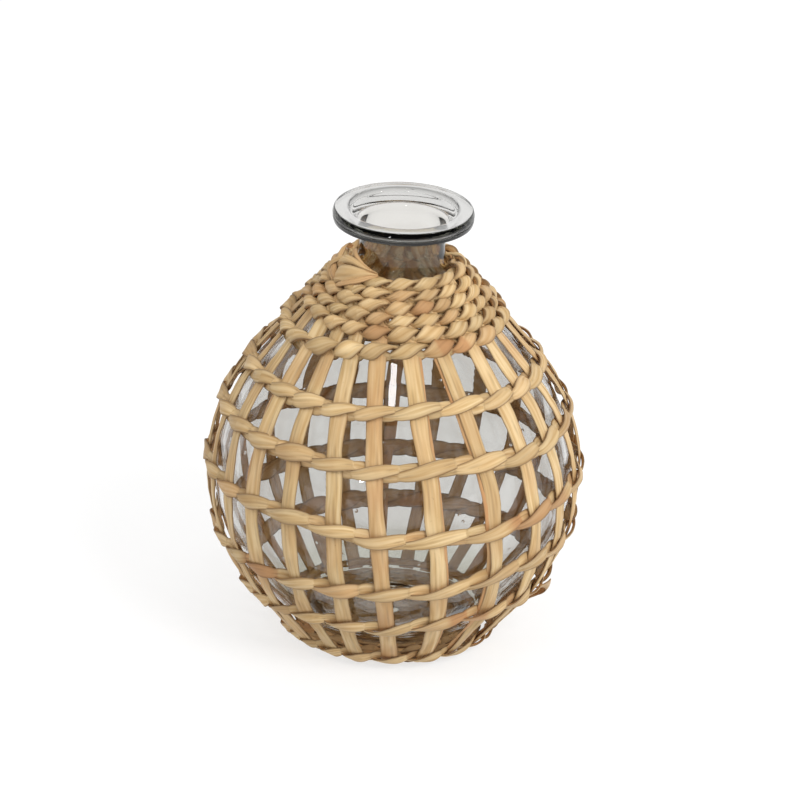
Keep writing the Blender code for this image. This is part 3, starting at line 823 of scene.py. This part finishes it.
def rush_material(name, colours):
    """Dried rush: straw streaked light and brown along the strip, redder where marked, with painted shade
    where marked dark and painted light on the side towards the glass.
    """
    finish, tree, shader = new_finish(name)
    place, red_mark, shade_mark, light_mark = surface(tree)
    strip_map = add_node(tree, "ShaderNodeUVMap", uv_map="strip")
    ways = add_node(tree, "ShaderNodeSeparateXYZ", {0: strip_map.outputs[0]}).outputs
    fibres = bpy.data.node_groups.get("rush_fibres") or rush_fibre_group()
    streaks = add_node(tree, "ShaderNodeGroup", node_tree=fibres)
    feed(tree, streaks, {"Length": ways[0], "Round": ways[1], "Place": place, "Strip": light_mark})
    fine, stripe, blotch, fleck = streaks.outputs

    colour = mix_colours(tree, spread(tree, fine, 0.35, 0.68), colours.straw, colours.light)
    colour = mix_colours(tree, spread(tree, stripe, 0.42, 0.66, 0.0, 0.32), colour, colours.brown)
    colour = mix_colours(tree, spread(tree, fine, 0.30, 0.43, 0.38, 0.0), colour, colours.brown)
    reddened = math_node(tree, "ADD", red_mark, spread(tree, blotch, 0.38, 0.66, 0.0, 0.12), clamp=True)
    colour = mix_colours(tree, reddened, colour, colours.red)
    colour = mix_colours(tree, spread(tree, fleck, 0.68, 0.80, 0.0, 0.3), colour, colours.fleck_and_shade)
    # Each segment's own lightness, with painted light added on the side towards the glass
    own = math_node(tree, "ADD", math_node(tree, "MULTIPLY", light_mark, 0.26), 0.80)
    colour = mix_colours(tree, 1.0, colour, own, "MULTIPLY")
    # Painted shade from the shade mark: in creases, on edges and on the passes inside
    colour = mix_colours(tree, math_node(tree, "MULTIPLY", shade_mark, 0.85), colour, colours.fleck_and_shade)
    relief = math_node(tree, "ADD", fine, math_node(tree, "MULTIPLY", stripe, 1.2))
    feed(tree, shader, {"Base Color": colour, "Roughness": spread(tree, fine, 0.3, 0.7, 0.68, 0.50),
                        "Specular IOR Level": 0.35, "Normal": bent_normal(tree, relief, 0.6, 0.00025)})
    return finish


def glass_material(name, colours, refraction):
    """Clear glass with a faint tint and tiny seeds, which dent the surface here and there. Where rays
    enter, the rim is painted dark and the outer neck painted brown, as painted shade.

    It is see-through for lamps and for light scattered by the rush, so both sides are lit.
    """
    finish, tree, shader = new_finish(name)
    place, rim_shade_mark, base_mark, neck_shade_mark = surface(tree)
    back = add_node(tree, "ShaderNodeNewGeometry").outputs["Backfacing"]
    entering = math_node(tree, "SUBTRACT", 1.0, math_node(tree, "MULTIPLY", back, 0.9))
    smears = spread(tree, noise(tree, place, 35.0), 0.35, 0.7)
    tint = mix_colours(tree, smears, colours.glass, colours.glass_smear)
    # Painted shade, near black, on the rim where rays enter
    tint = mix_colours(tree, math_node(tree, "MULTIPLY", rim_shade_mark, entering), tint, colours.glass_rim_shade)
    tint = mix_colours(tree, base_mark, tint, colours.glass_base)
    # Painted brown shade on the outer neck where rays enter, standing in for the rush seen through it
    tint = mix_colours(tree, math_node(tree, "MULTIPLY", neck_shade_mark, entering), tint, colours.glass_neck_shade)
    seeds = add_node(tree, "ShaderNodeTexVoronoi", {"Vector": place, "Scale": 95.0})
    dents = spread(tree, seeds.outputs["Distance"], 0.02, 0.09, 0.25, 0.0)
    relief = math_node(tree, "ADD", dents, noise(tree, place, 28.0, 1.0))
    feed(tree, shader, {"Base Color": tint, "Metallic": 0.0, "Roughness": 0.0, "IOR": refraction,
                        "Transmission Weight": 1.0, "Normal": bent_normal(tree, relief, 0.25, 0.0006)})
    path = add_node(tree, "ShaderNodeLightPath")
    clear = add_node(tree, "ShaderNodeBsdfTransparent", {"Color": colours.glass_light})
    shown = shader.outputs[0]
    for kind in ("Is Diffuse Ray", "Is Shadow Ray"):
        inputs = {0: path.outputs[kind], 1: shown, 2: clear.outputs[0]}
        shown = add_node(tree, "ShaderNodeMixShader", inputs).outputs[0]
    feed(tree, tree.nodes["Material Output"], {"Surface": shown})
    return finish


# Settings

def size_of(title, about, metres):
    """A length that a user may change."""
    return FloatProperty(name=title, description=about, default=metres, unit="LENGTH")


def power_of(title, about, watts):
    """Power of a lamp."""
    return FloatProperty(name=title, description=about, default=watts, unit="POWER")


def colour_of(title, about, red, green, blue):
    """A colour that a user may change."""
    return FloatVectorProperty(name=title, description=about, default=(red, green, blue), subtype="COLOR")


class VaseBottleSizes(bpy.types.PropertyGroup):
    wall: size_of("Wall", "Thickness of the glass", 0.0028)
    base_thickness: size_of("Base thickness", "Glass under the inner floor", 0.007)
    base_ring: size_of("Base ring", "Width of the ring that the bottle stands on", 0.006)
    push_up: size_of("Push-up", "Hollow under the base", 0.004)
    rim_radius: size_of("Rim radius", "Outer radius of the flat rim", 0.0309)
    rim_thickness: size_of("Rim thickness", "Height of the rim's side", 0.006)
    mouth_radius: size_of("Mouth radius", "Radius of the funnel mouth at the top", 0.0240)
    wave: size_of("Wave", "How far the wall strays from a true round", 0.00012)
    glass_ior: FloatProperty(name="Refraction", description="Index of refraction of the glass", default=1.5)
    glass_columns: IntProperty(name="Columns", description="Columns of faces round the bottle", default=192)


class VaseSleeveSizes(bpy.types.PropertyGroup):
    stake_width: size_of("Stake width", "Width of an upright rush strip", 0.0074)
    stake_thickness: size_of("Stake thickness", "Thickness of an upright strip", 0.0009)
    stake_steps: IntProperty(name="Stake steps", description="Sections along a stake", default=150)
    mat_rows: IntProperty(name="Mat rows", description="Twined rows of the mat under the bottle", default=6)


class VaseFinishColours(bpy.types.PropertyGroup):
    straw: colour_of("Straw", "Main colour of the rush", 0.62, 0.427, 0.202)
    light: colour_of("Light straw", "Colour of its light fibres", 0.74, 0.555, 0.305)
    brown: colour_of("Brown", "Colour of its brown stripes", 0.44, 0.265, 0.10)
    red: colour_of("Red-brown", "Colour of the redder segments", 0.50, 0.265, 0.115)
    # Deep brown is the colour of dark flecks, and of the painted shade in creases, gaps and on inside passes
    fleck_and_shade: colour_of("Deep brown", "Colour in the creases and gaps", 0.115, 0.055, 0.020)
    glass: colour_of("Glass", "Tint of the glass", 0.79, 0.785, 0.77)
    glass_smear: colour_of("Glass smear", "Tint where the glass is dull", 0.75, 0.745, 0.725)
    glass_light: colour_of("Light through glass", "Share of light let through", 0.93, 0.93, 0.92)
    # This colour is painted shade, near black, where the rim's side is seen edge-on
    glass_rim_shade: colour_of("Rim glass", "Tint where the rim is seen edge-on", 0.0060, 0.0062, 0.0042)
    # This colour is painted brown shade on the outer neck, standing in for the rush seen through it, not a
    # tint of thicker glass
    glass_neck_shade: colour_of("Neck glass", "Tint of the thicker neck", 0.70, 0.51, 0.22)
    glass_base: colour_of("Base glass", "Tint of the thick base", 0.66, 0.67, 0.60)


class VaseStudioSettings(bpy.types.PropertyGroup):
    key_power: power_of("Key light", "Power of the lamp at the upper right", 30.0)
    fill_power: power_of("Fill light", "Power of the lamp at the left", 3.5)
    top_power: power_of("Top light", "Power of the small lamp overhead", 1.3)
    spark_power: power_of("Sparks", "Power of each small lamp that the glass mirrors", 0.7)
    inner_power: power_of("Inner light", "Power of the lamp that the far inner face shows", 1.8)
    sky: FloatProperty(name="Room light", description="Strength of the light from all round", default=0.84)
    sky_lean: FloatProperty(name="Room light from the right", description="How uneven the room light is",
                            default=0.34)
    dim: FloatProperty(name="Dim front", description="Strength of what the glass mirrors at the front",
                       default=0.07)
    floor: colour_of("Floor", "Colour of the floor", 0.34, 0.34, 0.34)


# Studio

CAMERA_DISTANCE = 3.0
CAMERA_ELEVATION = math.radians(24.3)
CAMERA_ROLL = math.radians(2.3)
FOCAL_PIXELS = 6846.0
FRAME_PIXELS = 800.0
TARGET = np.array([0.0, 0.0, 0.077])
TARGET_PIXEL = (393.5, 466.0)
FLOOR_REACH = 60.0

# Lamps: name, place, width and height, the setting of its power, whether it shows in the outer face of
# the glass, and whether it shows in the far inner face
LAMPS = (
    ("key_lamp", (1.25, -1.55, 1.65), (1.1, 1.1), "key_power", False, False),
    ("fill_lamp", (-1.52, -0.88, 1.40), (0.6, 0.6), "fill_power", False, False),
    ("inner_spark", (-1.52, -0.88, 1.40), (0.2, 0.2), "inner_power", False, True),
    ("top_lamp", (-0.125, -1.19, 1.92), (0.24, 0.11), "top_power", True, False),
    ("left_spark", (-0.71, -1.95, 0.56), (0.09, 0.09), "spark_power", True, False),
    ("right_spark", (1.32, -0.82, 1.63), (0.09, 0.09), "spark_power", True, False),
)


def aimed(back, side, place):
    """World matrix of a camera or lamp at a place, from its backward and sideways directions."""
    turn = np.eye(4)
    turn[:3] = np.stack([side, np.cross(back, side), back, place], axis=1)
    return Matrix(turn.tolist())


def add_camera():
    """Place the camera so that the bottle's centre falls on its pixel, rolled a little."""
    ahead = np.array([0.0, math.cos(CAMERA_ELEVATION), -math.sin(CAMERA_ELEVATION)])
    right = np.array([1.0, 0.0, 0.0])
    up = np.cross(right, ahead)
    image_right = math.cos(CAMERA_ROLL) * right + math.sin(CAMERA_ROLL) * up
    image_up = -math.sin(CAMERA_ROLL) * right + math.cos(CAMERA_ROLL) * up
    middle = FRAME_PIXELS / 2
    aim = ahead + ((middle - TARGET_PIXEL[0]) * image_right
                   + (TARGET_PIXEL[1] - middle) * image_up) / FOCAL_PIXELS
    back = -unit(aim)
    lens = bpy.data.cameras.new("photo_camera")
    lens.sensor_width = 36.0
    lens.lens = FOCAL_PIXELS * lens.sensor_width / FRAME_PIXELS
    lens.clip_start = 0.1
    lens.clip_end = 200.0
    camera = put_in_scene("photo_camera", lens)
    camera.matrix_world = aimed(back, unit(image_right - (image_right @ back) * back),
                                TARGET - CAMERA_DISTANCE * ahead)
    bpy.context.scene.camera = camera


def add_lamp(name, place, size, watts, mirrored, inside):
    """An oval soft lamp that looks at the middle of the vase, its power in watts."""
    lamp = bpy.data.lights.new(name, "AREA")
    lamp.energy = watts
    lamp.shape = "ELLIPSE"
    lamp.size, lamp.size_y = size
    made = put_in_scene(name, lamp)
    made.visible_glossy = mirrored
    made.visible_transmission = inside
    back = unit(np.array(place) - TARGET)
    made.matrix_world = aimed(back, unit(np.cross([0.0, 0.0, 1.0], back)), place)


def add_floor(tint):
    """A wide pale floor that looks white, also by reflection or through glass, and keeps the shadow."""
    mesh = bpy.data.meshes.new("floor")
    corners = [(x * FLOOR_REACH, y * FLOOR_REACH, 0.0) for x, y in ((-1, -1), (1, -1), (1, 1), (-1, 1))]
    mesh.from_pydata(corners, [], [(0, 1, 2, 3)])
    finish, tree, shader = new_finish("floor_white")
    path = add_node(tree, "ShaderNodeLightPath").outputs
    seen = math_node(tree, "MAXIMUM", path["Is Camera Ray"], path["Is Glossy Ray"])
    seen = math_node(tree, "MAXIMUM", seen, path["Is Transmission Ray"])
    glow = math_node(tree, "MAXIMUM", math_node(tree, "MULTIPLY", seen, 0.68), 0.4)
    feed(tree, shader, {"Base Color": tint, "Roughness": 0.9, "Specular IOR Level": 0.0,
                        "Emission Color": (1.0, 1.0, 1.0), "Emission Strength": glow})
    mesh.materials.append(finish)
    put_in_scene("floor", mesh)


def add_surroundings(strength, dim, lean):
    """White all round for what the camera sees, and a soft room light for the rest.

    The room light grows towards the right and falls off towards the left by the share of the lean.
    What the glass mirrors is white at the back and dims towards the front, as in a room where only
    the backdrop is white.
    """
    world = bpy.data.worlds.new("studio")
    bpy.context.scene.world = world
    world.use_nodes = True
    tree = world.node_tree
    path = add_node(tree, "ShaderNodeLightPath").outputs
    seen = math_node(tree, "MAXIMUM", path["Is Camera Ray"], path["Is Transmission Ray"])
    way = add_node(tree, "ShaderNodeTexCoord").outputs["Generated"]
    way = add_node(tree, "ShaderNodeSeparateXYZ", {0: way}).outputs
    mirrored = spread(tree, way["Y"], 0.25, 0.95, dim, 1.0)
    mirrored = math_node(tree, "MULTIPLY", path["Is Glossy Ray"], mirrored)
    level = math_node(tree, "MAXIMUM", seen, mirrored)
    rest = math_node(tree, "SUBTRACT", 1.0, path["Is Glossy Ray"])
    room = math_node(tree, "ADD", math_node(tree, "MULTIPLY", way["X"], lean * strength), strength)
    level = math_node(tree, "MAXIMUM", level, math_node(tree, "MULTIPLY", rest, room))
    feed(tree, tree.nodes["Background"], {"Color": (1.0, 1.0, 1.0), "Strength": level})


# Operators

class VASE_OT_stage(bpy.types.Operator):
    """Set up the floor, the soft lamps, the white surroundings and the camera"""
    bl_idname = "vase.stage"
    bl_label = "Studio"

    def execute(self, context):
        studio = context.scene.vase_studio
        context.scene.view_settings.view_transform = "Standard"
        add_camera()
        add_floor(studio.floor)
        add_surroundings(studio.sky, studio.dim, studio.sky_lean)
        for name, place, size, setting, mirrored, inside in LAMPS:
            add_lamp(name, place, size, getattr(studio, setting), mirrored, inside)
        return {"FINISHED"}


class VASE_OT_bottle(bpy.types.Operator):
    """Turn the glass bottle with its funnel mouth, grooved rim and thick base"""
    bl_idname = "vase.bottle"
    bl_label = "Glass bottle"

    def execute(self, context):
        sizes = context.scene.vase_bottle
        finish = glass_material("bottle_glass", context.scene.vase_colours, sizes.glass_ior)
        add_piece("clear_bottle", bottle_arrays(sizes), finish, "glass_bottle", SHARP_EDGE)
        return {"FINISHED"}


class VASE_OT_stakes(bpy.types.Operator):
    """Lay the upright rush strips from the foot to the collar"""
    bl_idname = "vase.stakes"
    bl_label = "Upright strips"

    def execute(self, context):
        finish = rush_material("upright_rush", context.scene.vase_colours)
        table = stake_table()
        for number in range(STAKE_COUNT):
            arrays = stake_arrays(number, table, context.scene.vase_sleeve)
            add_piece(f"upright_{number + 1:02d}", arrays, finish, f"stake_{number + 1:02d}")
        return {"FINISHED"}


class VASE_OT_rows(bpy.types.Operator):
    """Twine the collar, the open bands and the foot row round the uprights"""
    bl_idname = "vase.rows"
    bl_label = "Twined rows"

    def execute(self, context):
        finish = rush_material("twined_rush", context.scene.vase_colours)
        for number, (name, anchors, height, run_of, look) in enumerate(twined_rows()):
            pair = pair_arrays(name, sleeve_frame, anchors, run_of, height, ROW_SEED + 20 * number, look)
            for letter, arrays in zip("ab", pair):
                add_piece(f"twined_{name}_{letter}", arrays, finish, f"{name}_strand_{letter}")
        return {"FINISHED"}


class VASE_OT_mat(bpy.types.Operator):
    """Weave the mat under the bottle from twined rings"""
    bl_idname = "vase.mat"
    bl_label = "Woven base"

    def execute(self, context):
        rows = context.scene.vase_sleeve.mat_rows
        edge = float(MAT_HIGH[0]) - MAT_MARGIN
        anchors = stake_azimuth(stake_table(), ARC_FOOT)
        pitch = edge / (rows + 1)
        parts = []
        for row in range(rows):
            own = anchors if row < rows - MAT_SPARSE_ROWS else anchors[::2]
            radius = edge - (row + 0.5) * pitch
            parts += pair_arrays("mat", mat_frame, own, lambda azimuth, radius=radius: radius,
                                 pitch * MAT_FILL, MAT_SEED + 20 * row, MAT_ROW)
        finish = rush_material("mat_rush", context.scene.vase_colours)
        add_piece("mat_rings", joined(parts), finish, "woven_base")
        return {"FINISHED"}


class VASE_OT_ends(bpy.types.Operator):
    """Lay the strip ends tucked in beside the neck and the tail on the lowest band"""
    bl_idname = "vase.ends"
    bl_label = "Strip ends"

    def execute(self, context):
        finish = rush_material("end_rush", context.scene.vase_colours)
        for name, strips, seed, node in (("tucked_strips", TUCKED_STRIPS, 4100, "tucked_end"),
                                         ("band_tail", BAND_TAIL, 4300, "weft_tail")):
            add_piece(name, end_arrays(strips, seed), finish, node)
        return {"FINISHED"}


class VASE_PT_panel(bpy.types.Panel):
    """Lists the vase's sizes, colours and pieces"""
    bl_idname = "VASE_PT_panel"
    bl_label = "Wicker-wrapped vase"
    bl_space_type = "VIEW_3D"
    bl_region_type = "UI"
    bl_category = "Vase"

    def draw(self, context):
        for name, _, title in SETTINGS:
            settings = getattr(context.scene, name)
            box = self.layout.box()
            box.label(text=title)
            for key in settings.__annotations__:
                box.prop(settings, key)
        for operator in OPERATORS:
            self.layout.operator(operator.bl_idname)


OPERATORS = (VASE_OT_stage, VASE_OT_bottle, VASE_OT_stakes, VASE_OT_rows, VASE_OT_mat, VASE_OT_ends)
SETTINGS = (("vase_bottle", VaseBottleSizes, "Bottle"), ("vase_sleeve", VaseSleeveSizes, "Sleeve"),
            ("vase_colours", VaseFinishColours, "Colours"), ("vase_studio", VaseStudioSettings, "Studio"))


def register():
    for name, group, _ in SETTINGS:
        bpy.utils.register_class(group)
        setattr(bpy.types.Scene, name, PointerProperty(type=group))
    for operator in OPERATORS:
        bpy.utils.register_class(operator)
    bpy.utils.register_class(VASE_PT_panel)


def unregister():
    bpy.utils.unregister_class(VASE_PT_panel)
    for operator in reversed(OPERATORS):
        bpy.utils.unregister_class(operator)
    for name, group, _ in reversed(SETTINGS):
        delattr(bpy.types.Scene, name)
        bpy.utils.unregister_class(group)


def main():
    """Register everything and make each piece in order."""
    register()
    bpy.ops.vase.stage()
    bpy.ops.vase.bottle()
    bpy.ops.vase.stakes()
    bpy.ops.vase.rows()
    bpy.ops.vase.mat()
    bpy.ops.vase.ends()


if __name__ == "__main__":
    main()
